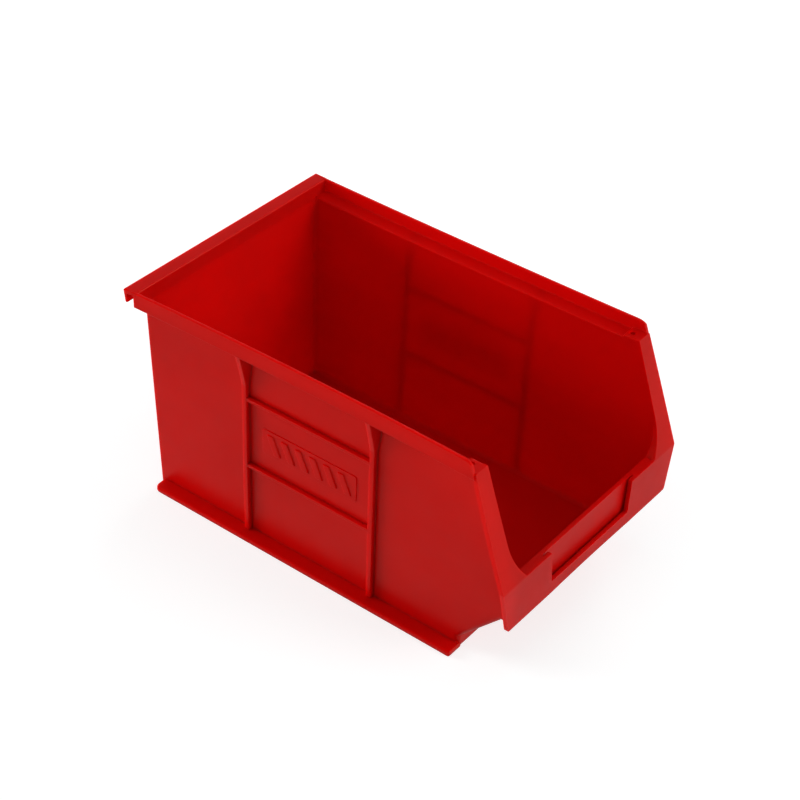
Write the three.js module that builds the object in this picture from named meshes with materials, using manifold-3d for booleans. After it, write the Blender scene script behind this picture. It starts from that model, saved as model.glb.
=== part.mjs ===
// Stackable open-front storage bin, one injection moulding in red polypropylene.
// Millimetres, +Z up. Origin: centre of the bounding box footprint, at the resting plane.
// The front is at -Y, the hanging hook at +Y, and the bin is symmetric about X = 0.
// Each mesh is one region of the moulding: a wall, rib, flange, runner or label part.
import * as THREE from "three";
import { mergeVertices } from "three/addons/utils/BufferGeometryUtils.js";
import Module from "manifold-3d";

const wasm = await Module();
wasm.setup();

// Overall size
const WIDTH = 150;
const LENGTH = 240;
const HEIGHT = 125;
const HALF_W = WIDTH / 2;
const FRONT_Y = -LENGTH / 2;
const REAR_Y = LENGTH / 2;

// Walls, all drafted so that the cavity opens upwards
const WALL = 2.2;
const SIDE_X_AT_BASE = 64;
const SIDE_DRAFT = 0.028;
const BACK_Y_AT_BASE = 109.8;
const BACK_DRAFT = 0.031;
const SEAM = 0.02; // clearance where two regions meet on a sloping face
const MARGIN = 1; // how far a joining or cutting body reaches past the face it works on

// Floor, foot and front ramp
const FLOOR_BOTTOM = 1.6;
const FLOOR_TOP = 3.8;
const FLOOR_COVE = 5;
const COVE_CLEARANCE = 0.25;
const FOOT_FRONT_Y = -88.7;
const FOOT_TOP_Z = 6.6;
const RAMP_END_Y = -112.2;
const RAMP_END_Z = 32.5;

// Front wall, nose panel and slanted front flanges
const FRONT_WALL_OUTER_Y = -116.2;
const FRONT_WALL_INNER_Y = FRONT_WALL_OUTER_Y + WALL;
const NOSE_Z = 59.5;
const NOSE_SETBACK = 0.6;
const NOSE_Y = FRONT_Y + NOSE_SETBACK;
const FLANGE_TOP_Z = 119.2;
const FLANGE_TOP_Y = -97.4;
const FLANGE_THICK_Y = 2.33;
const OPENING_ARC_R = 31;
const OPENING_ARC_Z = 80.5;

// Label holder in the nose panel
const WINDOW_HALF = 33.4;
const WINDOW_TOP_HALF = 35.2;
const PANEL_BOTTOM_Z = 33.2;
const PANEL_BOTTOM_HALF = 69.4;
const RAIL_BOTTOM_Z = 33.6;
const RAIL_TOP_Z = 40.6;
const CARD_SLOT = 1.1;
const CARD_SLOT_DEPTH = 6;
const CARD_SLOT_BELOW_RAIL = 3;

// Stacking rim: ledge, upstanding lip and front stop
const LEDGE_Z = 117.8;
const LEDGE_THICK = 1.8;
const LEDGE_INNER_X = 65.1;
const LIP_THICK = 1.7;
const LIP_ROUND_LENGTH = 7.2;
const STOP_REAR_Y = -88.3;
const STOP_PIN_HOLE = [68.8, -91.1];
const STOP_PIN_HOLE_R = 1.5;
const STOP_PIN_HOLE_DEPTH = 1.6;

// Rear hanging hook
const HOOK_THICK = 2;
const HOOK_BOTTOM_Z = 117.3;
const HOOK_PLATE = 2.5;
const RIM_REAR_Y = 113.2;

// Base runners, sized to sit between the lips of the bin below
const RUNNER_X = 72.6;
const RUNNER_EDGE_Z = 2.4;
const RUNNER_ROOT_Z = 3.6;
const RUNNER_REAR_Y = 107.3;
const RUNNER_FRONT_Y = -89.5;
const RUNNER_CORNER = 4;

// Outside ribs
const RIB_DEPTH = 2.6;
const REAR_RIB_Y = [45, 47.9];
const FRONT_RIB_Y = [-35.7, -32.7];
const UPPER_RIB_Z = [87.1, 89.1];
const LOWER_RIB_Z = [45, 47];
const GUSSET_START_Z = 96;

// Blank badge between the horizontal ribs
const BADGE_Y = 6.4;
const BADGE_Z = 65.4;
const BADGE_LENGTH = 60;
const BADGE_HEIGHT = 16;
const BADGE_CORNER = 1.5;
const BADGE_THICK = 0.5;
const BADGE_BAR_COUNT = 6;
const BADGE_BAR_PITCH = 9;
const BADGE_BAR_WIDTH = 4;
const BADGE_BAR_HEIGHT = 11;
const BADGE_BAR_SLANT = 5;

const sideOuterX = (z) => SIDE_X_AT_BASE + SIDE_DRAFT * z;
const sideInnerX = (z) => sideOuterX(z) - WALL;
const backOuterY = (z) => BACK_Y_AT_BASE + BACK_DRAFT * z;
const backInnerY = (z) => backOuterY(z) - WALL;
const FLANGE_SLOPE = (FLANGE_TOP_Y - NOSE_Y) / (FLANGE_TOP_Z - NOSE_Z);
const flangeFrontY = (z) => NOSE_Y + FLANGE_SLOPE * (z - NOSE_Z);
const flangeBackY = (z) => flangeFrontY(z) + FLANGE_THICK_Y;
const RAMP_SLOPE = (RAMP_END_Z - FOOT_TOP_Z) / (FOOT_FRONT_Y - RAMP_END_Y);
const RAMP_THICK_Z = WALL * Math.hypot(1, RAMP_SLOPE);
const RAMP_INNER_START_Y = FOOT_FRONT_Y + (FOOT_TOP_Z + RAMP_THICK_Z - FLOOR_TOP) / RAMP_SLOPE;
const RAMP_INNER_END_Z = FOOT_TOP_Z + RAMP_THICK_Z + (FOOT_FRONT_Y - FRONT_WALL_INNER_Y) * RAMP_SLOPE;
const panelFrontY = (z) => FRONT_Y + (NOSE_Y - FRONT_Y) * (z - PANEL_BOTTOM_Z) / (NOSE_Z - PANEL_BOTTOM_Z);
const LEDGE_UNDER_Z = LEDGE_Z - LEDGE_THICK;

// A closed solid between two placements of one flat outline of [u, v] points.
function prism(outline, near, far) {
  const flat = outline.map(([u, v]) => new THREE.Vector2(u, v));
  const clockwise = THREE.ShapeUtils.area(flat) < 0;
  const faces = THREE.ShapeUtils.triangulateShape(flat, []).map((face) => {
    const turned = THREE.ShapeUtils.area(face.map((i) => flat[i])) < 0;
    return turned === clockwise ? face : face.reverse();
  });
  const n = outline.length;
  const points = [...outline.map(([u, v]) => near(u, v)), ...outline.map(([u, v]) => far(u, v))];
  const index = [];
  for (const [a, b, c] of faces) index.push(a, b, c, n + a, n + c, n + b);
  for (let i = 0; i < n; i++) {
    const j = (i + 1) % n;
    index.push(i, n + i, j, j, n + i, n + j);
  }
  let volume = 0;
  for (let i = 0; i < index.length; i += 3) {
    const [p, q, r] = [0, 1, 2].map((k) => new THREE.Vector3(...points[index[i + k]]));
    volume += p.dot(q.cross(r));
  }
  if (volume < 0) {
    for (let i = 0; i < index.length; i += 3) [index[i + 1], index[i + 2]] = [index[i + 2], index[i + 1]];
  }
  const geometry = new THREE.BufferGeometry();
  geometry.setAttribute("position", new THREE.Float32BufferAttribute(points.flat(), 3));
  geometry.setIndex(index);
  return geometry;
}

// Outlines in the YZ plane run across X, outlines in the XZ plane run along Y.
const acrossX = (outline, x0, x1) => prism(outline, (y, z) => [x0(z), y, z], (y, z) => [x1(z), y, z]);
const alongY = (outline, y0, y1) => prism(outline, (x, z) => [x, y0(z), z], (x, z) => [x, y1(z), z]);
const at = (value) => () => value;
const box = (x0, x1, y0, y1, z0, z1) => acrossX([[y0, z0], [y1, z0], [y1, z1], [y0, z1]], at(x0), at(x1));

function solid(geometry) {
  const merged = mergeVertices(geometry, 1e-5);
  return new wasm.Manifold(new wasm.Mesh({
    numProp: 3,
    vertProperties: new Float32Array(merged.attributes.position.array),
    triVerts: new Uint32Array(merged.index.array),
  }));
}

function geometryOf(manifold) {
  const mesh = manifold.getMesh();
  const geometry = new THREE.BufferGeometry();
  geometry.setAttribute("position", new THREE.Float32BufferAttribute(mesh.vertProperties, 3));
  geometry.setIndex([...mesh.triVerts]);
  return geometry;
}

const join = (first, ...rest) => geometryOf(rest.reduce((m, g) => m.add(solid(g)), solid(first)));
const cut = (first, ...rest) => geometryOf(rest.reduce((m, g) => m.subtract(solid(g)), solid(first)));

function arc(cx, cy, rx, ry, from, to, steps) {
  return Array.from({ length: steps + 1 }, (_, i) => {
    const angle = THREE.MathUtils.degToRad(from + (to - from) * i / steps);
    return [cx + rx * Math.cos(angle), cy + ry * Math.sin(angle)];
  });
}

const plastic = new THREE.MeshStandardMaterial({ color: 0xb81c18, roughness: 0.42, metalness: 0 });
const bin = new THREE.Group();

function add(name, geometry) {
  const plain = geometry.index ? geometry.toNonIndexed() : geometry;
  plain.computeVertexNormals();
  const mesh = new THREE.Mesh(plain, plastic.clone());
  mesh.name = name;
  bin.add(mesh);
}

// Adds the right-hand piece as built, and its mirror image for the left.
function addPair(name, geometry) {
  const mirrored = geometry.clone();
  const position = mirrored.attributes.position;
  for (let i = 0; i < position.count; i++) position.setX(i, -position.getX(i));
  const index = [...mirrored.index.array];
  for (let i = 0; i < index.length; i += 3) [index[i + 1], index[i + 2]] = [index[i + 2], index[i + 1]];
  mirrored.setIndex(index);
  add(`right_${name}`, geometry);
  add(`left_${name}`, mirrored);
}

// Floor, with a rounded cove up each side wall
const coveTop = FLOOR_TOP + FLOOR_COVE;
const floorRight = [
  [sideInnerX(FLOOR_BOTTOM) - SEAM, FLOOR_BOTTOM],
  [sideInnerX(coveTop) - SEAM, coveTop],
  ...arc(sideInnerX(coveTop) - COVE_CLEARANCE - FLOOR_COVE, coveTop, FLOOR_COVE, FLOOR_COVE, 0, -90, 6),
];
const floorOutline = [...floorRight, ...floorRight.toReversed().map(([x, z]) => [-x, z])];
add("floor_panel", alongY(floorOutline, at(RAMP_INNER_START_Y), (z) => backInnerY(z) - SEAM));

// Front ramp: foot, sloping floor and the heel of the front wall
const rampOutline = [
  [RAMP_INNER_START_Y, 0], [FOOT_FRONT_Y, 0], [FOOT_FRONT_Y, FOOT_TOP_Z],
  [RAMP_END_Y, RAMP_END_Z], [FRONT_WALL_OUTER_Y, RAMP_END_Z],
  [FRONT_WALL_OUTER_Y, RAMP_INNER_END_Z], [FRONT_WALL_INNER_Y, RAMP_INNER_END_Z],
  [RAMP_INNER_START_Y, FLOOR_TOP],
];
const innerLeft = (z) => -sideInnerX(z) + SEAM;
const innerRight = (z) => sideInnerX(z) - SEAM;
add("front_ramp", acrossX(rampOutline, innerLeft, innerRight));

// Front wall behind the label
const frontWallOutline = [
  [FRONT_WALL_OUTER_Y, RAMP_INNER_END_Z], [FRONT_WALL_INNER_Y, RAMP_INNER_END_Z],
  [FRONT_WALL_INNER_Y, NOSE_Z], [FRONT_WALL_OUTER_Y, NOSE_Z],
];
add("front_wall", acrossX(frontWallOutline, innerLeft, innerRight));

// Back wall, up to the underside of the hook plate
const hookPlateZ = HEIGHT - HOOK_PLATE;
const backOutline = [
  [-sideOuterX(0), 0], [sideOuterX(0), 0],
  [sideOuterX(hookPlateZ), hookPlateZ], [-sideOuterX(hookPlateZ), hookPlateZ],
];
add("back_wall", alongY(backOutline, backInnerY, backOuterY));

// Side walls
const sideOutline = [
  [backInnerY(0) - SEAM, 0], [FOOT_FRONT_Y, 0], [FOOT_FRONT_Y, FOOT_TOP_Z],
  [RAMP_END_Y, RAMP_END_Z], [FRONT_WALL_OUTER_Y, RAMP_END_Z], [FRONT_WALL_OUTER_Y, NOSE_Z],
  [flangeBackY(NOSE_Z) + SEAM, NOSE_Z], [flangeBackY(LEDGE_UNDER_Z) + SEAM, LEDGE_UNDER_Z],
  [backInnerY(LEDGE_UNDER_Z) - SEAM, LEDGE_UNDER_Z],
];
addPair("side_wall", acrossX(sideOutline, sideInnerX, sideOuterX));

// Hanging hook across the back
const hookOutline = [
  [backInnerY(hookPlateZ), HEIGHT], [REAR_Y, HEIGHT], [REAR_Y, HOOK_BOTTOM_Z],
  [REAR_Y - HOOK_THICK, HOOK_BOTTOM_Z], [REAR_Y - HOOK_THICK, hookPlateZ],
  [backInnerY(hookPlateZ), hookPlateZ],
];
add("rear_hanging_hook", acrossX(hookOutline, at(-HALF_W), at(HALF_W)));

// Stacking rims: ledge for the runner of the bin above, held in by an outer lip
const ledgeRear = backInnerY(LEDGE_UNDER_Z) - SEAM;
const ledge = box(LEDGE_INNER_X, HALF_W, STOP_REAR_Y, ledgeRear, LEDGE_UNDER_Z, LEDGE_Z);
const lipFront = flangeBackY(FLANGE_TOP_Z) + SEAM;
const lipOutline = [
  [ledgeRear, LEDGE_UNDER_Z], [flangeBackY(LEDGE_UNDER_Z) + SEAM, LEDGE_UNDER_Z],
  ...arc(lipFront + LIP_ROUND_LENGTH, FLANGE_TOP_Z, LIP_ROUND_LENGTH, HEIGHT - FLANGE_TOP_Z, 180, 90, 8),
  [ledgeRear, HEIGHT],
];
const lip = acrossX(lipOutline, at(HALF_W - LIP_THICK), at(HALF_W));
const rearStub = box(sideOuterX(hookPlateZ) + SEAM, HALF_W, ledgeRear - MARGIN, RIM_REAR_Y,
  LEDGE_UNDER_Z, hookPlateZ);
addPair("stacking_rim", cut(join(ledge, lip, rearStub),
  box(0, WIDTH, backInnerY(hookPlateZ) - SEAM, REAR_Y, hookPlateZ, WIDTH)));

// Rim front stops, each with a small moulded pin hole
const stopOutline = [
  [STOP_REAR_Y, LEDGE_UNDER_Z], [flangeBackY(LEDGE_UNDER_Z) + SEAM, LEDGE_UNDER_Z],
  [flangeBackY(FLANGE_TOP_Z) + SEAM, FLANGE_TOP_Z], [STOP_REAR_Y, FLANGE_TOP_Z],
];
const pinHole = new THREE.CylinderGeometry(STOP_PIN_HOLE_R, STOP_PIN_HOLE_R, 2 * STOP_PIN_HOLE_DEPTH, 20);
pinHole.deleteAttribute("normal");
pinHole.deleteAttribute("uv");
pinHole.rotateX(Math.PI / 2);
pinHole.translate(...STOP_PIN_HOLE, FLANGE_TOP_Z);
const stop = acrossX(stopOutline, at(LEDGE_INNER_X), at(HALF_W - LIP_THICK));
addPair("rim_front_stop", cut(stop, pinHole));

// Slanted flanges down the front edges of the side walls, curving in to the nose
const arcEnd = THREE.MathUtils.radToDeg(Math.asin((NOSE_Z - OPENING_ARC_Z) / OPENING_ARC_R));
const arcCentreX = sideInnerX(OPENING_ARC_Z) - OPENING_ARC_R;
const flangeFace = [
  [HALF_W, NOSE_Z], [HALF_W, FLANGE_TOP_Z], [LEDGE_INNER_X, FLANGE_TOP_Z],
  ...arc(arcCentreX, OPENING_ARC_Z, OPENING_ARC_R, OPENING_ARC_R, 0, arcEnd, 8),
];
addPair("front_flange", alongY(flangeFace, flangeFrontY, flangeBackY));

// Nose panel: cover blocks each side of the label window, with a card slot behind
const blockFace = [
  [WINDOW_HALF, PANEL_BOTTOM_Z], [PANEL_BOTTOM_HALF, PANEL_BOTTOM_Z],
  [HALF_W, NOSE_Z], [WINDOW_TOP_HALF, NOSE_Z], [WINDOW_HALF, RAIL_TOP_Z],
];
const cardSlotY = FRONT_WALL_OUTER_Y - CARD_SLOT;
const block = alongY(blockFace, panelFrontY, at(FRONT_WALL_OUTER_Y));
const blockSlot = box(0, WINDOW_HALF + CARD_SLOT_DEPTH, cardSlotY, 0,
  RAIL_TOP_Z - CARD_SLOT_BELOW_RAIL, HEIGHT);
addPair("label_cover_block", cut(block, blockSlot));

const railFace = [
  [-WINDOW_HALF, RAIL_BOTTOM_Z], [WINDOW_HALF, RAIL_BOTTOM_Z],
  [WINDOW_HALF, RAIL_TOP_Z], [-WINDOW_HALF, RAIL_TOP_Z],
];
const rail = alongY(railFace, panelFrontY, at(FRONT_WALL_OUTER_Y));
const railSlot = box(-WIDTH, WIDTH, cardSlotY, 0, RAIL_TOP_Z - CARD_SLOT_BELOW_RAIL, HEIGHT);
add("label_rail", cut(rail, railSlot));

// Base runners, with the rear outer corner cut back
const runnerOutline = [
  [sideOuterX(0) + SEAM, 0], [RUNNER_X, 0], [RUNNER_X, RUNNER_EDGE_Z],
  [sideOuterX(RUNNER_ROOT_Z) + SEAM, RUNNER_ROOT_Z],
];
const runnerPlan = [
  [RUNNER_X - RUNNER_CORNER, RUNNER_REAR_Y + MARGIN], [RUNNER_X + MARGIN, RUNNER_REAR_Y + MARGIN],
  [RUNNER_X + MARGIN, RUNNER_REAR_Y - RUNNER_CORNER], [RUNNER_X, RUNNER_REAR_Y - RUNNER_CORNER],
  [RUNNER_X - RUNNER_CORNER, RUNNER_REAR_Y],
];
const cornerCut = prism(runnerPlan, (x, y) => [x, y, -MARGIN], (x, y) => [x, y, RUNNER_ROOT_Z + MARGIN]);
addPair("base_runner", cut(alongY(runnerOutline, at(RUNNER_FRONT_Y), at(RUNNER_REAR_Y)), cornerCut));

// Vertical ribs, standing on the runner below and flaring out to the rim above
const ribX = (z) => sideOuterX(z) + RIB_DEPTH;
const ribOutline = [
  [sideOuterX(RUNNER_ROOT_Z) + SEAM, RUNNER_ROOT_Z + SEAM], [ribX(RUNNER_ROOT_Z), RUNNER_ROOT_Z + SEAM],
  [ribX(GUSSET_START_Z), GUSSET_START_Z],
  [HALF_W, LEDGE_UNDER_Z], [sideOuterX(LEDGE_UNDER_Z) + SEAM, LEDGE_UNDER_Z],
];
addPair("rear_vertical_rib", alongY(ribOutline, ...REAR_RIB_Y.map(at)));
addPair("front_vertical_rib", alongY(ribOutline, ...FRONT_RIB_Y.map(at)));

// Horizontal ribs between the vertical ones
const horizontalRibs = [["upper_horizontal_rib", UPPER_RIB_Z], ["lower_horizontal_rib", LOWER_RIB_Z]];
for (const [name, [z0, z1]] of horizontalRibs) {
  const outline = [[sideOuterX(z0) + SEAM, z0], [ribX(z0), z0], [ribX(z1), z1], [sideOuterX(z1) + SEAM, z1]];
  addPair(name, alongY(outline, at(FRONT_RIB_Y[1]), at(REAR_RIB_Y[0])));
}

// Blank badge: a rounded pad with plain slanted bars
const badgeRaise = (height) => (z) => sideOuterX(z) + height;
const padCorners = [[1, 1, 0], [-1, 1, 90], [-1, -1, 180], [1, -1, 270]];
const padOutline = padCorners.flatMap(([sy, sz, from]) => arc(
  BADGE_Y + sy * (BADGE_LENGTH / 2 - BADGE_CORNER), BADGE_Z + sz * (BADGE_HEIGHT / 2 - BADGE_CORNER),
  BADGE_CORNER, BADGE_CORNER, from, from + 90, 5));
const pad = acrossX(padOutline, badgeRaise(SEAM), badgeRaise(BADGE_THICK));
const bars = Array.from({ length: BADGE_BAR_COUNT }, (_, i) => {
  const y = BADGE_Y + (i - (BADGE_BAR_COUNT - 1) / 2) * BADGE_BAR_PITCH;
  const low = y - (BADGE_BAR_WIDTH + BADGE_BAR_SLANT) / 2;
  const high = low + BADGE_BAR_SLANT;
  const [bottom, top] = [BADGE_Z - BADGE_BAR_HEIGHT / 2, BADGE_Z + BADGE_BAR_HEIGHT / 2];
  const outline = [
    [low, bottom], [low + BADGE_BAR_WIDTH, bottom], [high + BADGE_BAR_WIDTH, top], [high, top],
  ];
  return acrossX(outline, badgeRaise(BADGE_THICK / 2), badgeRaise(2 * BADGE_THICK));
});
addPair("blank_badge", join(pad, ...bars));

export default bin;
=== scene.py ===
"""Stackable storage bin in red polypropylene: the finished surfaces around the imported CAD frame.

Shapes are built in millimetres, bent by the slight lean of the moulding's walls, and scaled to metres.
+Z is up, the open front faces -Y, the hanging hook is at +Y, and the left side is -X.
"""
import math

import bmesh
import bpy
from mathutils import Matrix, Vector


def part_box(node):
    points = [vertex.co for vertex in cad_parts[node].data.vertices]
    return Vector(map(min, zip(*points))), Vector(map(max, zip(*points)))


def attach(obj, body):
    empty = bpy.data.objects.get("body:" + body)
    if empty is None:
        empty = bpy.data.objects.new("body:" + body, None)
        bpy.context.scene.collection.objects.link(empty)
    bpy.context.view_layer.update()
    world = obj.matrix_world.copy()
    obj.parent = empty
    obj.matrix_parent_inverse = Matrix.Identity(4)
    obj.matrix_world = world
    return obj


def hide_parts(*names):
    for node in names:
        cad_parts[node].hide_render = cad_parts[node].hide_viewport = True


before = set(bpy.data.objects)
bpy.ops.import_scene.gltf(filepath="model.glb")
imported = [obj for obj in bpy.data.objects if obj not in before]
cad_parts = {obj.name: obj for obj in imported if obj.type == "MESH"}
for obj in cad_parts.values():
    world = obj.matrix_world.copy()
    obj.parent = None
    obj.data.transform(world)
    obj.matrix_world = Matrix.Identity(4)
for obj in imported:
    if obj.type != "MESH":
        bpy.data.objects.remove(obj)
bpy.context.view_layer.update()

MM = 0.001


def cad_mm(node):
    """Lowest and highest corner of a CAD node, in millimetres."""
    low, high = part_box(node)
    return low / MM, high / MM


# ---------------------------------------------------------------- driving sizes, in millimetres
hook_low, hook_high = cad_mm("rear_hanging_hook")
rail_high = cad_mm("label_rail")[1]
runner_low, runner_high = cad_mm("right_base_runner")
stop_low, stop_high = cad_mm("right_rim_front_stop")
flange_high = cad_mm("right_front_flange")[1]
block_low, block_high = cad_mm("right_label_cover_block")

HALF_W = hook_high.x
FRONT_Y = block_low.y
REAR_Y = hook_high.y
TOP_Z = hook_high.z

WALL = 2.2
SIDE_X_AT_BASE = 64.0
SIDE_DRAFT = 0.028
BACK_Y_AT_BASE = 109.8
BACK_DRAFT = 0.031
STEP = 0.03            # offset that keeps two joined faces from lying in one plane
OVERLAP = 0.4          # how far one region reaches into the next before they are joined
CLEAR = 20.0           # how far a cutter stands out of what it cuts
SAME = 0.01            # two places nearer than this are one place

FLOOR_BOTTOM = 1.6
FLOOR_TOP = 3.8
FOOT_FRONT_Y = -88.7
FOOT_TOP_Z = 6.6
RAMP_END = (-112.2, 32.5)
FRONT_WALL_OUTER_Y = -116.2
FRONT_WALL_INNER_Y = FRONT_WALL_OUTER_Y + WALL
TUB_TOP_Z = 116.6
OUTER_CORNER = 2.4     # vertical corners at the back
RAMP_CORNER = 4.2      # side edges of the foot and the ramp
INNER_CORNER = 3.0     # inside corners, and the coves round the floor
RECESS_CORNER = 2.0
WALL_EDGE_ROUND = 0.7
ROUND_STEPS = 8        # segments of the large rounds and coves

NOSE_Z = block_high.z
NOSE_Y = FRONT_Y + 0.6
NOSE_ROUND = 5.0
PANEL_BOTTOM_Z = block_low.z
PANEL_BOTTOM_HALF = 69.4
PANEL_THICK = 2.2
PANEL_FILLER_HALF = 65.2
FLANGE_TOP_Z = flange_high.z
FLANGE_TOP_Y = -97.4
FLANGE_THICK_Y = 2.33
FLANGE_COVER = 1.0     # how far the side walls stay behind the flange's face
OPENING_ARC_R = 31.0
OPENING_ARC_Z = 80.5
OPENING_ROUND = 2.0
OPENING_TOP_ROUND = 0.5
FLANGE_TIP_ROUND = 0.7
NOSE_SIDE_ROUND = 6.0
PANEL_CORNER = 1.6
PANEL_SIDE_ROUND = 2.0
FLANGE_SIDE_ROUND = 1.0
FRAME_ROUND = 0.5
FRAME_BACK_ROUND = 0.3
FILLER_GRIP = 0.8      # how far the filler reaches into the front panel
FILLER_INSET = 0.3     # how far its corners stay clear of the opening's edge
SHOULDER_Z = 66.0      # top of the solid corners that tie the flanges to the front wall
NOSE_TOP_ROUND = 0.9

WINDOW_HALF = rail_high.x
WINDOW_TOP_HALF = block_low.x + 1.8
WINDOW_ROUND = 0.5
RAIL_TOP_Z = rail_high.z
RAIL_ARCH = 0.5
CARD_SLOT_DEPTH = 6.0
CARD_SLOT_BELOW_RAIL = 3.0

LEDGE_Z = 117.8
LEDGE_UNDER_Z = stop_low.z
LEDGE_ROUND = 0.9
LIP_THICK = 1.7
LIP_ROUND_START_Y = -90.2
LIP_ROUND_LENGTH = 7.2
LIP_ROUND_DROP = 5.6
LIP_EDGE_ROUND = 0.6
LIP_FOOT_ROUND = 0.7
LIP_ROUND_SHARE = 0.4     # largest share of a low lip's height that a round may take
RIM_UNDER_ROUND = 0.5
RIM_ROOT_ROUND = 0.3
RIM_FRONT_Y = FRONT_Y + 12
RIM_STATIONS = (-101, -78)
STOP_REAR_Y = stop_high.y
STOP_SLOPE_BEHIND = 0.6   # the stop's rear slope starts this far behind its place
STOP_SLOPE_AHEAD = 0.2    # and ends this far in front of it
STOP_Z = stop_high.z - STEP
PIN_HOLE = (68.8, -91.1)
PIN_HOLE_R = 1.55
PIN_HOLE_DEPTH = 1.6
RIM_REAR_Y = 113.2
HOOK_THICK = 2.0
HOOK_PLATE = 2.5       # thickness of the flat flange that carries the hook
HOOK_DRAFT = 1.2
HOOK_BOTTOM_Z = hook_low.z
HOOK_TIP_ROUND = 0.5
HOOK_ROOT_ROUND = 0.6
HOOK_END_ROUND = 0.45

RUNNER_THICK = 2.5
RUNNER_EDGE_ROUND = 1.7
RUNNER_UNDER_ROUND = 0.35
RUNNER_CORNER = 4.0
RUNNER_FRONT_CORNER = 1.0
RUNNER_FILLET = 0.5
RUNNER_FILLET_INSET = 1.2
RIB_DEPTH = 2.6
RIB_FILLET = 0.35
RIB_ROUND = 0.35
GUSSET_START_Z = 96.0
GUSSET_LEAN = 3.0         # how far a gusset's front side spreads forward at the wall
GUSSET_FLARE = 1.1        # how a gusset's depth grows with height
GUSSET_INSET = 0.5        # how far it stays behind the rim's edge
BADGE_RAISE = 0.4
BADGE_CORNER = 1.5
BADGE_EDGE_ROUND = 0.2
BADGE_BARS = 6
BADGE_BAR_PITCH = 9.0
BAR_RAISE = 1.0
BAR_HALF_HEIGHT = 5.5
BAR_HALF_LENGTH = 4.5     # half of a bar's whole length along the wall, slant included
BAR_SLANT = 5.0           # how far a bar's top stands behind its foot
BAR_DRAFT = 0.35
BAR_CORNER = 0.5
BAR_EDGE_ROUND = 0.25

# How far the left (-1) and right (1) walls lean in at the rim: mean, slope and bulge along Y
LEAN = {-1: (1.315, -0.436, 1.723), 1: (0.739, -0.219, 0.767)}
LEAN_CENTRE_Y = 5.0
LEAN_HALF_LENGTH = 100.0
LEAN_POWER = 1.5          # how the lean grows with height
LEAN_X = (45, 62)         # the lean fades in between these distances from the middle
NOSE_BLEND = (60, 115)    # and lets go of the nose between these distances to the front
GRID = 8.0                # spacing of the cuts that let the large faces follow the lean
SMOOTH_BELOW = math.radians(32)


def side_outer(z):
    return SIDE_X_AT_BASE + SIDE_DRAFT * z


def side_inner(z):
    return side_outer(z) - WALL


def back_outer(z):
    return BACK_Y_AT_BASE + BACK_DRAFT * z


def back_inner(z):
    return back_outer(z) - WALL


FLANGE_SLOPE = (FLANGE_TOP_Y - NOSE_Y) / (FLANGE_TOP_Z - NOSE_Z)


def flange_front(z):
    return NOSE_Y + FLANGE_SLOPE * (z - NOSE_Z)


RAMP_SLOPE = (RAMP_END[1] - FOOT_TOP_Z) / (FOOT_FRONT_Y - RAMP_END[0])


def ramp_inner(y):
    return FOOT_TOP_Z + (FOOT_FRONT_Y - y) * RAMP_SLOPE + WALL * math.hypot(1, RAMP_SLOPE)


OPENING_ARC_X = side_inner(OPENING_ARC_Z) - OPENING_ARC_R


def opening_arc(shift=0.0, count=24):
    """Right half of the U-shaped opening's edge, from the side wall down to the nose, widened by shift."""
    last = math.asin((OPENING_ARC_Z - NOSE_Z) / OPENING_ARC_R)
    turns = [last * i / count for i in range(count + 1)]
    reach = OPENING_ARC_R + shift
    return [
        (OPENING_ARC_X + reach * math.cos(a), OPENING_ARC_Z - OPENING_ARC_R * math.sin(a)) for a in turns
    ]


# ---------------------------------------------------------------- mesh tools
def smooth_step(value, low, high):
    t = min(1.0, max(0.0, (value - low) / (high - low)))
    return t * t * (3 - 2 * t)


def rounded(corners, steps=5):
    """A closed outline from (u, v, radius) corners, each turned into an arc."""
    out = []
    count = len(corners)
    for i, (u, v, radius) in enumerate(corners):
        here = Vector((u, v))
        if radius <= 0:
            out.append((u, v))
            continue
        to_last = (Vector(corners[i - 1][:2]) - here).normalized()
        to_next = (Vector(corners[(i + 1) % count][:2]) - here).normalized()
        half = to_last.angle(to_next) / 2
        centre = here + (to_last + to_next).normalized() * (radius / math.sin(half))
        first = here + to_last * (radius / math.tan(half)) - centre
        last = here + to_next * (radius / math.tan(half)) - centre
        sweep = math.atan2(first.x * last.y - first.y * last.x, first.dot(last))
        for k in range(steps + 1):
            turn = sweep * k / steps
            x = first.x * math.cos(turn) - first.y * math.sin(turn)
            y = first.x * math.sin(turn) + first.y * math.cos(turn)
            out.append((centre.x + x, centre.y + y))
    return out


def to_object(bm, name):
    mesh = bpy.data.meshes.new(name)
    bm.to_mesh(mesh)
    bm.free()
    obj = bpy.data.objects.new(name, mesh)
    bpy.context.scene.collection.objects.link(obj)
    return obj


def loft(rings, name="part"):
    """A closed solid through rings of equal length, capped at both ends."""
    bm = bmesh.new()
    rows = [[bm.verts.new(p) for p in ring] for ring in rings]
    n = len(rows[0])
    for a, b in zip(rows, rows[1:]):
        for i in range(n):
            j = (i + 1) % n
            bm.faces.new((a[i], a[j], b[j], b[i]))
    bm.faces.new(rows[0])
    bm.faces.new(rows[-1])
    bmesh.ops.recalc_face_normals(bm, faces=bm.faces)
    return to_object(bm, name)


def across_x(outline, x0, x1, name="part"):
    """A (y, z) outline stretched from x0(z) to x1(z)."""
    return loft([[(x(z), y, z) for y, z in outline] for x in (x0, x1)], name)


def along_y(outline, y0, y1, name="part"):
    """An (x, z) outline stretched from y0(z) to y1(z)."""
    return loft([[(x, y(z), z) for x, z in outline] for y in (y0, y1)], name)


def up_z(outline, z0, z1, name="part"):
    """An (x, y) outline stretched from z0 to z1."""
    return loft([[(x, y, z) for x, y in outline] for z in (z0, z1)], name)


def at(value):
    return lambda _: value


def box(x0, x1, y0, y1, z0, z1, name="part"):
    return up_z([(x0, y0), (x1, y0), (x1, y1), (x0, y1)], z0, z1, name)


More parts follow.
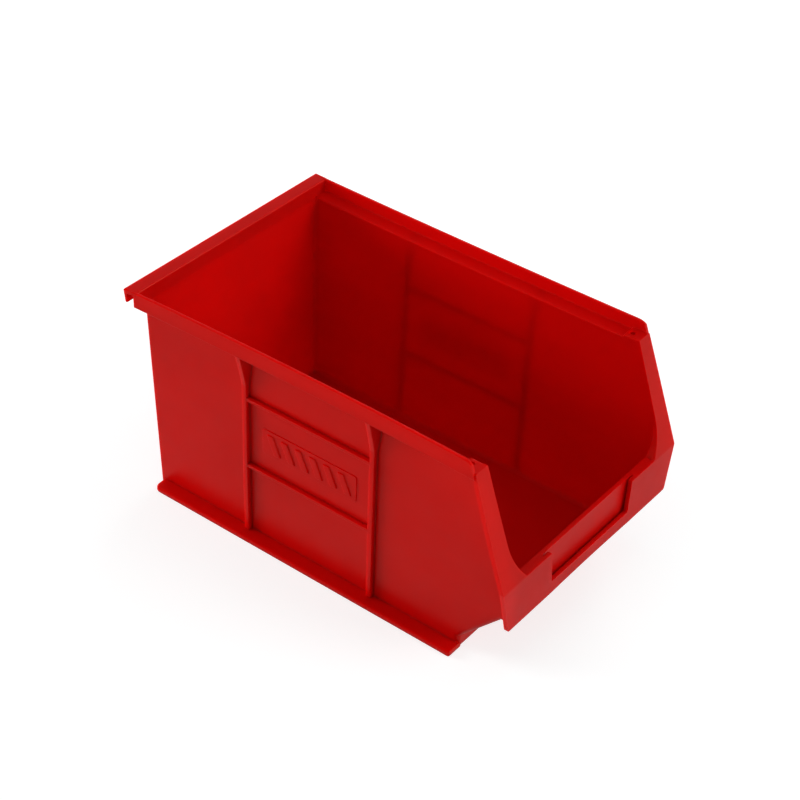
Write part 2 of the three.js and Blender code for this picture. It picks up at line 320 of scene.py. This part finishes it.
def bevel(obj, radius, segments=4, chosen=None, sharper_than=25):
    """Rounds a solid's sharp edges. chosen, if given, picks an edge by its two end points."""
    bm = bmesh.new()
    bm.from_mesh(obj.data)
    limit = math.radians(sharper_than)
    edges = [
        e for e in bm.edges
        if e.is_manifold and e.calc_face_angle() > limit
        and (chosen is None or chosen(e.verts[0].co, e.verts[1].co))
    ]
    bmesh.ops.bevel(bm, geom=edges, offset=radius, offset_type="OFFSET", segments=segments,
                    profile=0.5, affect="EDGES", clamp_overlap=True)
    bm.to_mesh(obj.data)
    bm.free()
    return obj


def soften(obj, radius_at, segments=4, sharper_than=25):
    """Rounds each sharp edge by the radius that radius_at gives for its two ends."""
    bm = bmesh.new()
    bm.from_mesh(obj.data)
    weight = bm.edges.layers.float.new("bevel_weight_edge")
    limit = math.radians(sharper_than)
    sharp = [e for e in bm.edges if e.is_manifold and e.calc_face_angle() > limit]
    radii = {e.index: radius_at(e.verts[0].co, e.verts[1].co) for e in sharp}
    widest = max(radii.values())
    for e in sharp:
        e[weight] = radii[e.index] / widest
    bm.to_mesh(obj.data)
    bm.free()
    modifier = obj.modifiers.new("round", "BEVEL")
    modifier.limit_method = "WEIGHT"
    modifier.width = widest
    modifier.segments = segments
    return apply_modifier(obj)


def apply_modifier(obj):
    bpy.context.view_layer.update()
    evaluated = obj.evaluated_get(bpy.context.evaluated_depsgraph_get())
    result = bpy.data.meshes.new_from_object(evaluated)
    obj.modifiers.clear()
    obj.data = result
    return obj


def boolean(target, operation, others):
    """Joins, cuts or intersects target with each other solid, which is used up."""
    for other in others:
        modifier = target.modifiers.new("boolean", "BOOLEAN")
        modifier.object = other
        modifier.operation = operation
        modifier.solver = "EXACT"
        apply_modifier(target)
        bpy.data.objects.remove(other)
    return target


def join(target, *others):
    return boolean(target, "UNION", others)


def cut(target, *others):
    return boolean(target, "DIFFERENCE", others)


def common(target, *others):
    return boolean(target, "INTERSECT", others)


def mirror_of(obj, name):
    """A mirror image of a right-hand solid, for the left."""
    bm = bmesh.new()
    bm.from_mesh(obj.data)
    bmesh.ops.transform(bm, matrix=Matrix.Scale(-1, 4, (1, 0, 0)), verts=bm.verts)
    bmesh.ops.reverse_faces(bm, faces=bm.faces)
    return to_object(bm, name)


# ---------------------------------------------------------------- the shell
def make_tub():
    """Floor, ramp, front wall, back wall and side walls, drafted and rounded."""
    outer = [
        (back_outer(0), 0), (FOOT_FRONT_Y, 0), (FOOT_FRONT_Y, FOOT_TOP_Z), RAMP_END,
        (FRONT_WALL_OUTER_Y, RAMP_END[1]), (FRONT_WALL_OUTER_Y, TUB_TOP_Z),
        (back_outer(TUB_TOP_Z), TUB_TOP_Z),
    ]
    tub = across_x(outer, lambda z: -side_outer(z), side_outer, "bin_shell")

    def side_edge(a, b):
        if a.x * b.x < 0 or min(a.z, b.z) > TUB_TOP_Z - SAME or max(a.z, b.z) < SAME:
            return 0
        return OUTER_CORNER if a.y > 0 else RAMP_CORNER

    soften(tub, side_edge, ROUND_STEPS)
    rise = TOP_Z + CLEAR
    ramp_start = FOOT_FRONT_Y - (FLOOR_TOP - ramp_inner(FOOT_FRONT_Y)) / RAMP_SLOPE
    inner = [
        (back_inner(FLOOR_TOP), FLOOR_TOP), (ramp_start, FLOOR_TOP),
        (FRONT_WALL_INNER_Y, ramp_inner(FRONT_WALL_INNER_Y)), (FRONT_WALL_INNER_Y, rise),
        (back_inner(rise), rise),
    ]
    cavity = across_x(inner, lambda z: -side_inner(z), side_inner)
    bevel(cavity, INNER_CORNER, ROUND_STEPS, lambda a, b: min(a.z, b.z) < rise - SAME)
    half = side_inner(0)
    front = FOOT_FRONT_Y + 2 * WALL
    recess = [(x, y, RECESS_CORNER) for x, y in (
        (half, front), (half, back_inner(0)), (-half, back_inner(0)), (-half, front))]
    return cut(tub, cavity, up_z(rounded(recess), -CLEAR, FLOOR_BOTTOM))


def rim_section(y):
    """Outline (x, z) of the right rim at y: ledge, upstanding lip and, at the front, the raised stop."""
    ledge = LEDGE_Z + (STOP_Z - LEDGE_Z) * smooth_step(
        -y, -STOP_REAR_Y - STOP_SLOPE_BEHIND, -STOP_REAR_Y + STOP_SLOPE_AHEAD)
    if y > back_inner(TOP_Z) + SAME:
        ledge = TOP_Z - HOOK_PLATE + OVERLAP
    along = min(1.0, max(0.0, (LIP_ROUND_START_Y - y) / LIP_ROUND_LENGTH))
    top = TOP_Z - STEP - LIP_ROUND_DROP * (1 - math.sqrt(1 - along * along))
    top = max(top, ledge + 2 * STEP)
    most = (top - ledge) * LIP_ROUND_SHARE
    edge = min(LIP_EDGE_ROUND, most)
    foot = min(LIP_FOOT_ROUND, most)
    outer = HALF_W - STEP
    inner = outer - LIP_THICK
    wall_x = side_inner(LEDGE_UNDER_Z) + STEP
    corners = [
        (wall_x, LEDGE_UNDER_Z, RIM_ROOT_ROUND), (outer, LEDGE_UNDER_Z, RIM_UNDER_ROUND), (outer, top, edge),
        (inner, top, edge), (inner, ledge, foot), (wall_x, ledge, LEDGE_ROUND),
    ]
    return [(x, y, z) for x, z in rounded(corners)]


def make_rim():
    """The right rim, with close sections where the lip comes down and where the stop rises."""
    stations = [RIM_FRONT_Y, *RIM_STATIONS]
    stations += [LIP_ROUND_START_Y - LIP_ROUND_LENGTH * math.sin(math.radians(a)) for a in range(88, -1, -8)]
    slope = STOP_SLOPE_BEHIND + STOP_SLOPE_AHEAD
    stations += [STOP_REAR_Y + STOP_SLOPE_BEHIND - slope * i / 4 for i in range(5)]
    stations += [back_inner(TOP_Z), back_inner(TOP_Z) + 0.05, RIM_REAR_Y]
    return loft([rim_section(y) for y in sorted(set(stations))])


def make_hook():
    """Flat rear flange with its turned-down hook, and the strip of back wall under it."""
    plate_under = TOP_Z - HOOK_PLATE
    low = TUB_TOP_Z - OVERLAP
    profile = rounded([
        (back_inner(low) + STEP, low, 0), (back_inner(TOP_Z) + STEP, TOP_Z, WALL_EDGE_ROUND),
        (REAR_Y, TOP_Z, LEDGE_ROUND), (REAR_Y - HOOK_DRAFT, HOOK_BOTTOM_Z, HOOK_TIP_ROUND),
        (REAR_Y - HOOK_THICK - HOOK_DRAFT / 2, HOOK_BOTTOM_Z, HOOK_TIP_ROUND),
        (REAR_Y - HOOK_THICK, plate_under, HOOK_ROOT_ROUND),
        (back_outer(plate_under), plate_under, HOOK_ROOT_ROUND), (back_outer(low) - STEP, low, 0),
    ])
    hook = across_x(profile, at(-HALF_W), at(HALF_W))

    def end_edge(a, b):
        return min(abs(a.x), abs(b.x)) > HALF_W - SAME

    return bevel(hook, HOOK_END_ROUND, 3, end_edge, sharper_than=50)


def nose_outline():
    """Closed outline (x, z) of the front frame: flanges, U-shaped opening, cover blocks and label rail.

    The points without a round that the slices drop only give the rounds beside them a direction.
    """
    top_x = side_inner(FLANGE_TOP_Z) - STEP
    right = rounded([
        (HALF_W, FLANGE_TOP_Z, FLANGE_TIP_ROUND), (top_x, FLANGE_TOP_Z, OPENING_TOP_ROUND), (0, 0, 0),
    ])[:-1]
    right += opening_arc(-STEP)
    right += rounded([
        (HALF_W, NOSE_Z, 0), (WINDOW_TOP_HALF, NOSE_Z, WINDOW_ROUND),
        (WINDOW_HALF, RAIL_TOP_Z, WINDOW_ROUND), (0, RAIL_TOP_Z, 0),
    ])[1:-1]
    left = [(-x, z) for x, z in reversed(right)]
    arch = [
        (-WINDOW_HALF * math.cos(a), PANEL_BOTTOM_Z + RAIL_ARCH * math.sin(a) ** 2)
        for a in [math.radians(15 * i) for i in range(13)]
    ]
    bottom = rounded([
        (-HALF_W, FLANGE_TOP_Z, 0), (-HALF_W, NOSE_Z, NOSE_SIDE_ROUND),
        (-PANEL_BOTTOM_HALF, PANEL_BOTTOM_Z, PANEL_CORNER), (0, PANEL_BOTTOM_Z, 0),
    ])[1:-1]
    return right + left + bottom + arch + [(-x, z) for x, z in reversed(bottom)]


def make_nose_frame():
    """Slanted flanges, cover blocks and label rail: a bent plate trimmed to one outline."""
    bent = rounded([
        (FLANGE_TOP_Y, FLANGE_TOP_Z, 0), (NOSE_Y, NOSE_Z, NOSE_ROUND), (FRONT_Y, PANEL_BOTTOM_Z, 0),
        (FRONT_Y + PANEL_THICK, PANEL_BOTTOM_Z, 0),
        (NOSE_Y + FLANGE_THICK_Y, NOSE_Z, NOSE_ROUND - PANEL_THICK),
        (FLANGE_TOP_Y + FLANGE_THICK_Y, FLANGE_TOP_Z, 0),
    ])
    plate = across_x(bent, at(-HALF_W), at(HALF_W))
    trim = along_y(nose_outline(), at(FRONT_Y - CLEAR), at(0))
    frame_plate = common(plate, trim)

    def radius(a, b):
        """By place: back edges, the opening, the outer sides, the nose's top edge, and the rest."""
        mid_x, mid_z = abs(a.x + b.x) / 2, (a.z + b.z) / 2
        if min(flange_depth(a), flange_depth(b)) > 0.5:
            return FRAME_BACK_ROUND
        if abs(a.x - b.x) < 3 and mid_z > NOSE_Z + 0.5 and mid_x < 66:
            return OPENING_ROUND
        if mid_x > PANEL_BOTTOM_HALF + 0.2 and mid_z < FLANGE_TOP_Z - 1:
            return PANEL_SIDE_ROUND if mid_z < NOSE_Z - 1 else FLANGE_SIDE_ROUND
        if min(a.z, b.z) > NOSE_Z - 0.1 and mid_z < NOSE_Z + 0.1:
            return NOSE_TOP_ROUND
        return FRAME_ROUND

    return soften(frame_plate, radius, 5, 40)


def flange_depth(p):
    """How far a point lies behind the frame's front face."""
    if p.z > NOSE_Z:
        return p.y - flange_front(p.z)
    return p.y - FRONT_Y - (NOSE_Y - FRONT_Y) * (p.z - PANEL_BOTTOM_Z) / (NOSE_Z - PANEL_BOTTOM_Z)


def make_nose_filler():
    """Thickening that ties the front frame to the front wall, leaving the card slot open."""
    inner_x = WINDOW_HALF + CARD_SLOT_DEPTH
    slot_z = RAIL_TOP_Z - CARD_SLOT_BELOW_RAIL
    low_z, high_z = PANEL_BOTTOM_Z + STEP, NOSE_Z - 2 * STEP
    shoulder = [(x, z) for x, z in opening_arc(STEP) if NOSE_Z + STEP < z < SHOULDER_Z]
    right = [(PANEL_FILLER_HALF, low_z), (PANEL_FILLER_HALF, shoulder[0][1]), *shoulder]
    right += [(shoulder[-1][0] - FILLER_INSET, high_z), (inner_x, high_z), (inner_x, slot_z)]
    outline = right + [(-x, z) for x, z in reversed(right)]

    def front(z):
        return max(FRONT_Y + PANEL_THICK - FILLER_GRIP, flange_front(z) + FLANGE_COVER + STEP)

    return along_y(outline, front, at(FRONT_WALL_OUTER_Y + WALL_EDGE_ROUND + STEP))


def make_shell():
    """The tub with its rims, hook, opening, front frame, pin holes and badges, as one closed solid."""
    shell = make_tub()
    rim = make_rim()
    join(shell, mirror_of(rim, "rim_left"), rim, make_hook())
    z0, z1 = NOSE_Z - STEP, TOP_Z + CLEAR
    slant = [
        (FRONT_Y - CLEAR, z0), (flange_front(z0) + FLANGE_COVER, z0),
        (flange_front(z1) + FLANGE_COVER, z1), (FRONT_Y - CLEAR, z1),
    ]
    cut(shell, across_x(slant, at(-HALF_W - CLEAR), at(HALF_W + CLEAR)))
    edge = opening_arc()
    rise = TOP_Z + CLEAR
    half = [(side_inner(rise) - STEP, rise)] + edge[:-1] + [(edge[-1][0], z0)]
    opening = half + [(-x, z) for x, z in reversed(half)]
    cut(shell, along_y(opening, at(FRONT_Y - CLEAR), at(FRONT_WALL_INNER_Y + INNER_CORNER + 1)))

    def on_opening(p):
        if abs(p.z - z0) < SAME:
            return abs(p.x) < edge[-1][0] + SAME
        from_centre = math.hypot(abs(p.x) - OPENING_ARC_X, p.z - OPENING_ARC_Z)
        return z0 < p.z < OPENING_ARC_Z and abs(from_centre - OPENING_ARC_R) < STEP

    def wall_top_edge(a, b):
        if abs(a.y - b.y) < SAME and abs(a.y - FRONT_WALL_OUTER_Y) < SAME:
            return abs(a.x - b.x) > WINDOW_HALF and abs(a.z - z0) < SAME and abs(b.z - z0) < SAME
        return min(a.y, b.y) > FRONT_WALL_INNER_Y - SAME and on_opening(a) and on_opening(b)

    bevel(shell, WALL_EDGE_ROUND, 4, wall_top_edge)
    join(shell, make_nose_filler(), make_nose_frame())
    for side in (-1, 1):
        hole = [
            (side * PIN_HOLE[0] + PIN_HOLE_R * math.cos(a), PIN_HOLE[1] + PIN_HOLE_R * math.sin(a))
            for a in [math.radians(15 * i) for i in range(24)]
        ]
        cut(shell, up_z(hole, STOP_Z - PIN_HOLE_DEPTH, STOP_Z + CLEAR))
    badge = make_badge()
    return join(shell, mirror_of(badge, "badge_left"), badge)


# ---------------------------------------------------------------- ribs, runners and badges
def rib_section(width, depth):
    """Half-open outline (along, out) of a rib: flared at the wall, rounded at its free edge."""
    half = width / 2
    side = [
        (half + RIB_FILLET * (1 - math.sin(a)), RIB_FILLET * (1 - math.cos(a)))
        for a in [math.radians(15 * i) for i in range(7)]
    ]
    tip = [
        (half - RIB_ROUND * (1 - math.cos(a)), depth - RIB_ROUND * (1 - math.sin(a)))
        for a in [math.radians(22.5 * i) for i in range(5)]
    ]
    right = [(half + RIB_FILLET, -OVERLAP)] + side + tip
    return right + [(-u, v) for u, v in reversed(right)]


def gusset_share(z):
    return max(0.0, (z - GUSSET_START_Z) / (LEDGE_UNDER_Z - GUSSET_START_Z))


def rib_depth(z):
    """Depth of a vertical rib: even up to the gusset, which flares out to the rim's edge."""
    reach = HALF_W - GUSSET_INSET - side_outer(LEDGE_UNDER_Z) - RIB_DEPTH
    return RIB_DEPTH + reach * gusset_share(z) ** GUSSET_FLARE


def make_vertical_rib(node, name):
    low, high = cad_mm(node)
    centre = (low.y + high.y) / 2
    heights = [RUNNER_THICK - OVERLAP] + [GUSSET_START_Z * i / 8 for i in range(1, 9)]
    heights += [GUSSET_START_Z + i for i in (1, 2, 4, 8, 12, 16, 20)] + [LEDGE_UNDER_Z + OVERLAP]
    rings = []
    for z in heights:
        share = gusset_share(min(z, LEDGE_UNDER_Z))
        depth = rib_depth(min(z, LEDGE_UNDER_Z))
        ring = []
        for u, out in rib_section(high.y - low.y, depth):
            if u < 0:
                u -= GUSSET_LEAN * share * (1 - max(0.0, out) / depth)
            ring.append((side_outer(z) + out, centre + u, z))
        rings.append(ring)
    return loft(rings, name)


def make_horizontal_rib(node, name):
    low, high = cad_mm(node)
    centre = (low.z + high.z) / 2
    section = rib_section(high.z - low.z, RIB_DEPTH - STEP)
    ends = (low.y - OVERLAP, high.y + OVERLAP)
    rings = [[(side_outer(centre + u) + out, y, centre + u) for u, out in section] for y in ends]
    return loft(rings, name)


def make_runner(name):
    """A flat foot along the wall, filleted to it above and rounded at its outer edge."""
    inner = SIDE_X_AT_BASE - WALL / 2
    low_y, high_y = runner_low.y, runner_high.y
    plan = rounded([
        (inner, low_y, 0), (runner_high.x, low_y, RUNNER_FRONT_CORNER),
        (runner_high.x, high_y, RUNNER_CORNER), (inner, high_y, 0),
    ], 8)
    runner = up_z(plan, 0, RUNNER_THICK, name)

    def outside(a, b):
        return min(a.x, b.x) > inner - 1 and max(a.x, b.x) > inner + 0.1

    bevel(runner, RUNNER_EDGE_ROUND, 6, lambda a, b: outside(a, b) and min(a.z, b.z) > RUNNER_THICK - 0.1)
    bevel(runner, RUNNER_UNDER_ROUND, 2, lambda a, b: outside(a, b) and max(a.z, b.z) < 0.1)
    root = side_outer(RUNNER_THICK)
    turns = [math.radians(15 * i) for i in range(7)]
    low_z = RUNNER_THICK - OVERLAP
    fillet = [(inner + OVERLAP, low_z), (root + RUNNER_FILLET + 0.1, low_z)]
    fillet += [
        (root + RUNNER_FILLET * (1 - math.sin(a)), RUNNER_THICK + STEP + RUNNER_FILLET * (1 - math.cos(a)))
        for a in turns
    ]
    fillet += [(inner + OVERLAP, RUNNER_THICK + STEP + RUNNER_FILLET)]
    return join(runner, along_y(fillet, at(low_y + RUNNER_FILLET_INSET), at(high_y - RUNNER_FILLET_INSET)))


def make_badge():
    """A thin rounded pad with plain slanted bars."""
    low, high = cad_mm("right_blank_badge")
    y, z = (low.y + high.y) / 2, (low.z + high.z) / 2
    r = BADGE_CORNER
    pad = rounded([(low.y, low.z, r), (high.y, low.z, r), (high.y, high.z, r), (low.y, high.z, r)], 8)
    badge = across_x(pad, lambda h: side_outer(h) - OVERLAP, lambda h: side_outer(h) + BADGE_RAISE)
    bevel(badge, BADGE_EDGE_ROUND, 3, sharper_than=40)
    for i in range(BADGE_BARS):
        bar_y = y + (i - (BADGE_BARS - 1) / 2) * BADGE_BAR_PITCH

        def bar(grow):
            left, right = bar_y - BAR_HALF_LENGTH - grow, bar_y + BAR_HALF_LENGTH + grow
            low_z, high_z = z - BAR_HALF_HEIGHT - grow, z + BAR_HALF_HEIGHT + grow
            return rounded([
                (left, low_z, BAR_CORNER), (right - BAR_SLANT, low_z, BAR_CORNER),
                (right, high_z, BAR_CORNER), (left + BAR_SLANT, high_z, BAR_CORNER),
            ], 3)

        foot = [(side_outer(h), u, h) for u, h in bar(BAR_DRAFT)]
        top = [(side_outer(h) + BAR_RAISE, u, h) for u, h in bar(0)]
        join(badge, bevel(loft([foot, top]), BAR_EDGE_ROUND, 3, sharper_than=40))
    return badge


# ---------------------------------------------------------------- finishing a piece
def lean(p):
    """The long walls of the moulding lean in between their ends, most at the rim and not at the nose."""
    side = -1 if p.x < 0 else 1
    mean, slope, bulge = LEAN[side]
    along = (p.y - LEAN_CENTRE_Y) / LEAN_HALF_LENGTH
    amount = mean + slope * along + bulge * (1 - along * along)
    from_floor = max(0.0, p.z / TOP_Z) ** LEAN_POWER
    from_nose = max(0.0, (p.z - NOSE_Z) / (TOP_Z - NOSE_Z)) ** LEAN_POWER
    front = smooth_step(-p.y, *NOSE_BLEND)
    amount *= from_floor * (1 - front) + from_nose * front
    p.x -= side * amount * smooth_step(abs(p.x), *LEAN_X)


def finish_piece(obj, nodes, gridded=False):
    """Cleans the mesh, bends it, brings it to metres, shades it and hands it to the frame."""
    bm = bmesh.new()
    bm.from_mesh(obj.data)
    bmesh.ops.remove_doubles(bm, verts=bm.verts, dist=SAME)
    bmesh.ops.dissolve_degenerate(bm, edges=bm.edges, dist=SAME / 2)
    if gridded:
        for axis, start, stop in ((1, FRONT_Y + GRID, REAR_Y), (2, GRID, TUB_TOP_Z - GRID / 2)):
            place = start
            while place < stop:
                centre, normal = [0, 0, 0], [0, 0, 0]
                centre[axis], normal[axis] = place, 1
                everything = bm.verts[:] + bm.edges[:] + bm.faces[:]
                bmesh.ops.bisect_plane(bm, geom=everything, plane_co=centre, plane_no=normal, dist=SAME)
                place += GRID
    for v in bm.verts:
        lean(v.co)
    bmesh.ops.scale(bm, vec=(MM, MM, MM), verts=bm.verts)
    for e in bm.edges:
        e.smooth = not (e.is_manifold and e.calc_face_angle() > SMOOTH_BELOW)
    for f in bm.faces:
        f.smooth = True
    bm.to_mesh(obj.data)
    bm.free()
    weighted = obj.modifiers.new("even_normals", "WEIGHTED_NORMAL")
    weighted.keep_sharp = True
    weighted.weight = 80
    obj.data.materials.clear()
    obj.data.materials.append(plastic)
    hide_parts(*nodes)
    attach(obj, "root")
    return obj


# ---------------------------------------------------------------- material
DARK_RED = (0.58, 0.0008, 0.0010, 1)
LIGHT_RED = (0.66, 0.0014, 0.0014, 1)
GLOSS = (0.36, 0.44)              # roughness at the two ends of its slow variation
SPECULAR = 0.3
SPECULAR_TINT = (1.0, 0.88, 0.62, 1)
SCATTER_SHARES = (1.0, 0.05, 0.04)
SCATTER_METRES = 0.005


def make_plastic():
    """Through-coloured polypropylene: translucent, satin, with fine moulded grain and faint flow marks."""
    material = bpy.data.materials.new("red_polypropylene")
    material.use_nodes = True
    nodes, links = material.node_tree.nodes, material.node_tree.links
    shader = nodes["Principled BSDF"]
    place = nodes.new("ShaderNodeTexCoord")

    def noise(scale, detail=3.0, stretch=(1, 1, 1)):
        mapping = nodes.new("ShaderNodeMapping")
        mapping.inputs["Scale"].default_value = stretch
        links.new(place.outputs["Object"], mapping.inputs["Vector"])
        texture = nodes.new("ShaderNodeTexNoise")
        texture.inputs["Scale"].default_value = scale
        texture.inputs["Detail"].default_value = detail
        links.new(mapping.outputs["Vector"], texture.inputs["Vector"])
        return texture.outputs["Fac"]

    def spread(value, low, high):
        remap = nodes.new("ShaderNodeMapRange")
        remap.inputs["From Min"].default_value = 0.3
        remap.inputs["From Max"].default_value = 0.7
        remap.inputs["To Min"].default_value = low
        remap.inputs["To Max"].default_value = high
        links.new(value, remap.inputs["Value"])
        return remap.outputs["Result"]

    colour = nodes.new("ShaderNodeMix")
    colour.data_type = "RGBA"
    colour.inputs["A"].default_value = DARK_RED
    colour.inputs["B"].default_value = LIGHT_RED
    links.new(spread(noise(22, 4, (1, 0.35, 1)), 0, 1), colour.inputs["Factor"])
    links.new(colour.outputs["Result"], shader.inputs["Base Color"])
    links.new(spread(noise(60, 5), *GLOSS), shader.inputs["Roughness"])

    grain = nodes.new("ShaderNodeBump")
    grain.inputs["Strength"].default_value = 0.25
    grain.inputs["Distance"].default_value = 0.00002
    links.new(noise(1800, 2), grain.inputs["Height"])
    wave = nodes.new("ShaderNodeBump")
    wave.inputs["Strength"].default_value = 0.35
    wave.inputs["Distance"].default_value = 0.0004
    links.new(noise(18, 2), wave.inputs["Height"])
    links.new(grain.outputs["Normal"], wave.inputs["Normal"])
    links.new(wave.outputs["Normal"], shader.inputs["Normal"])

    shader.inputs["Specular IOR Level"].default_value = SPECULAR
    shader.inputs["Specular Tint"].default_value = SPECULAR_TINT
    shader.inputs["Subsurface Weight"].default_value = 1.0
    shader.inputs["Subsurface Radius"].default_value = SCATTER_SHARES
    shader.inputs["Subsurface Scale"].default_value = SCATTER_METRES
    return material


def plain(name, colour, roughness):
    material = bpy.data.materials.new(name)
    material.use_nodes = True
    shader = material.node_tree.nodes["Principled BSDF"]
    shader.inputs["Base Color"].default_value = (*colour, 1)
    shader.inputs["Roughness"].default_value = roughness
    shader.inputs["Specular IOR Level"].default_value = 0.2
    return material


# ---------------------------------------------------------------- studio
FLOOR_COLOUR = (0.46, 0.5, 0.5)
FLOOR_HALF = 3000          # millimetres
FLOOR_GLOW_SEEN = 0.69     # what the camera sees, so that the floor stays pale
FLOOR_GLOW_CAST = 0.12     # what lights the bin
SKY_HORIZON = 0.41
SKY_ZENITH = 0.08
SKY_FALLOFF = 0.5
SKY_SEEN = 0.9             # the plain backdrop behind the floor
REFLECTED_HORIZON = 0.4
REFLECTED_ZENITH = 0.0
SKY_TOP, REFLECTED_TOP = 1.0, 0.7     # heights at which the two domes reach their zenith strength
LIGHTS = (
    # name, place in metres, diameter, watts, whether surfaces mirror it
    ("left_fill", (-1.6, 0.45, 0.75), 0.8, 1.0, False),
    ("front_right_key", (0.5, -1.5, 0.9), 0.9, 12.5, True),
    ("overhead_fill", (-0.1, 0.1, 1.5), 1.4, 3.3, False),
    ("rear_glow", (-0.6, 1.5, 0.35), 0.8, 22, False),
    ("right_glow", (1.5, 0.3, 0.45), 0.8, 8, False),
)


def make_studio():
    floor = box(-FLOOR_HALF, FLOOR_HALF, -FLOOR_HALF, FLOOR_HALF, -10, 0, "studio_floor")
    floor.data.transform(Matrix.Scale(MM, 4))
    pale = plain("pale_floor", FLOOR_COLOUR, 0.8)
    shader = pale.node_tree.nodes["Principled BSDF"]
    shader.inputs["Emission Color"].default_value = (1, 1, 1, 1)
    glow = pale.node_tree.nodes.new("ShaderNodeMapRange")
    glow.inputs["To Min"].default_value = FLOOR_GLOW_CAST
    glow.inputs["To Max"].default_value = FLOOR_GLOW_SEEN
    ray = pale.node_tree.nodes.new("ShaderNodeLightPath")
    pale.node_tree.links.new(ray.outputs["Is Camera Ray"], glow.inputs["Value"])
    pale.node_tree.links.new(glow.outputs["Result"], shader.inputs["Emission Strength"])
    floor.data.materials.append(pale)
    floor.visible_glossy = False
    world = bpy.data.worlds.new("studio")
    world.use_nodes = True
    nodes, links = world.node_tree.nodes, world.node_tree.links
    direction = nodes.new("ShaderNodeSeparateXYZ")
    links.new(nodes.new("ShaderNodeTexCoord").outputs["Generated"], direction.inputs["Vector"])

    def dome(horizon, zenith, top):
        """Strength of a sky that fades from its horizon to its zenith."""
        height = nodes.new("ShaderNodeMapRange")
        height.inputs["From Max"].default_value = top
        height.inputs["To Min"].default_value = 1.0
        height.inputs["To Max"].default_value = 0.0
        links.new(direction.outputs["Z"], height.inputs["Value"])
        curve = nodes.new("ShaderNodeMath")
        curve.operation = "POWER"
        curve.inputs[1].default_value = SKY_FALLOFF
        links.new(height.outputs["Result"], curve.inputs[0])
        strength = nodes.new("ShaderNodeMapRange")
        strength.inputs["To Min"].default_value = zenith
        strength.inputs["To Max"].default_value = horizon
        links.new(curve.outputs["Value"], strength.inputs["Value"])
        return strength.outputs["Result"]

    ray = nodes.new("ShaderNodeLightPath")
    strength = nodes.new("ShaderNodeMapRange")
    links.new(dome(SKY_HORIZON, SKY_ZENITH, SKY_TOP), strength.inputs["To Min"])
    links.new(dome(REFLECTED_HORIZON, REFLECTED_ZENITH, REFLECTED_TOP), strength.inputs["To Max"])
    links.new(ray.outputs["Is Glossy Ray"], strength.inputs["Value"])
    backdrop = nodes.new("ShaderNodeMapRange")
    links.new(strength.outputs["Result"], backdrop.inputs["To Min"])
    backdrop.inputs["To Max"].default_value = SKY_SEEN
    links.new(ray.outputs["Is Camera Ray"], backdrop.inputs["Value"])
    nodes["Background"].inputs["Color"].default_value = (1, 1, 1, 1)
    links.new(backdrop.outputs["Result"], nodes["Background"].inputs["Strength"])
    bpy.context.scene.world = world
    for name, place, size, power, mirrored in LIGHTS:
        data = bpy.data.lights.new(name, "AREA")
        data.shape = "DISK"
        data.size = size
        data.energy = power
        light = bpy.data.objects.new(name, data)
        light.location = place
        light.visible_glossy = mirrored
        light.rotation_euler = (-Vector(place)).to_track_quat("-Z", "Y").to_euler()
        bpy.context.scene.collection.objects.link(light)


CAMERA_TURN = (-53.64, 37.179, 2.631)     # azimuth, elevation and roll in degrees
CAMERA_PLACE = Vector((-0.647946, -0.476653, 0.681443))
CAMERA_LENS = 88.963


def make_camera():
    azimuth, elevation, roll = (math.radians(a) for a in CAMERA_TURN)
    back = Vector((
        math.sin(azimuth) * math.cos(elevation), -math.cos(azimuth) * math.cos(elevation),
        math.sin(elevation),
    ))
    right = (-back).cross(Vector((0, 0, 1))).normalized()
    up = right.cross(-back)
    right, up = (
        right * math.cos(roll) + up * math.sin(roll),
        up * math.cos(roll) - right * math.sin(roll),
    )
    data = bpy.data.cameras.new("camera")
    data.lens = CAMERA_LENS
    data.sensor_width = 36
    camera = bpy.data.objects.new("camera", data)
    turn = Matrix((right, up, back)).transposed().to_4x4()
    camera.matrix_world = Matrix.Translation(CAMERA_PLACE) @ turn
    bpy.context.scene.collection.objects.link(camera)
    bpy.context.scene.camera = camera


plastic = make_plastic()
finish_piece(make_shell(), [
    "floor_panel", "front_ramp", "front_wall", "back_wall", "rear_hanging_hook", "label_rail",
    *[f"{side}_{part}" for side in ("left", "right") for part in (
        "side_wall", "stacking_rim", "rim_front_stop", "front_flange", "label_cover_block",
        "blank_badge")],
], gridded=True)


def add_pair(right, part):
    left = mirror_of(right, f"{part}_piece_left")
    finish_piece(right, [f"right_{part}"], gridded=True)
    finish_piece(left, [f"left_{part}"], gridded=True)


add_pair(make_runner("base_runner_piece_right"), "base_runner")
for part in ("rear_vertical_rib", "front_vertical_rib"):
    add_pair(make_vertical_rib(f"right_{part}", f"{part}_piece_right"), part)
for part in ("upper_horizontal_rib", "lower_horizontal_rib"):
    add_pair(make_horizontal_rib(f"right_{part}", f"{part}_piece_right"), part)

make_studio()
make_camera()
scene = bpy.context.scene
scene.view_settings.view_transform = "Standard"
scene.cycles.use_denoising = True
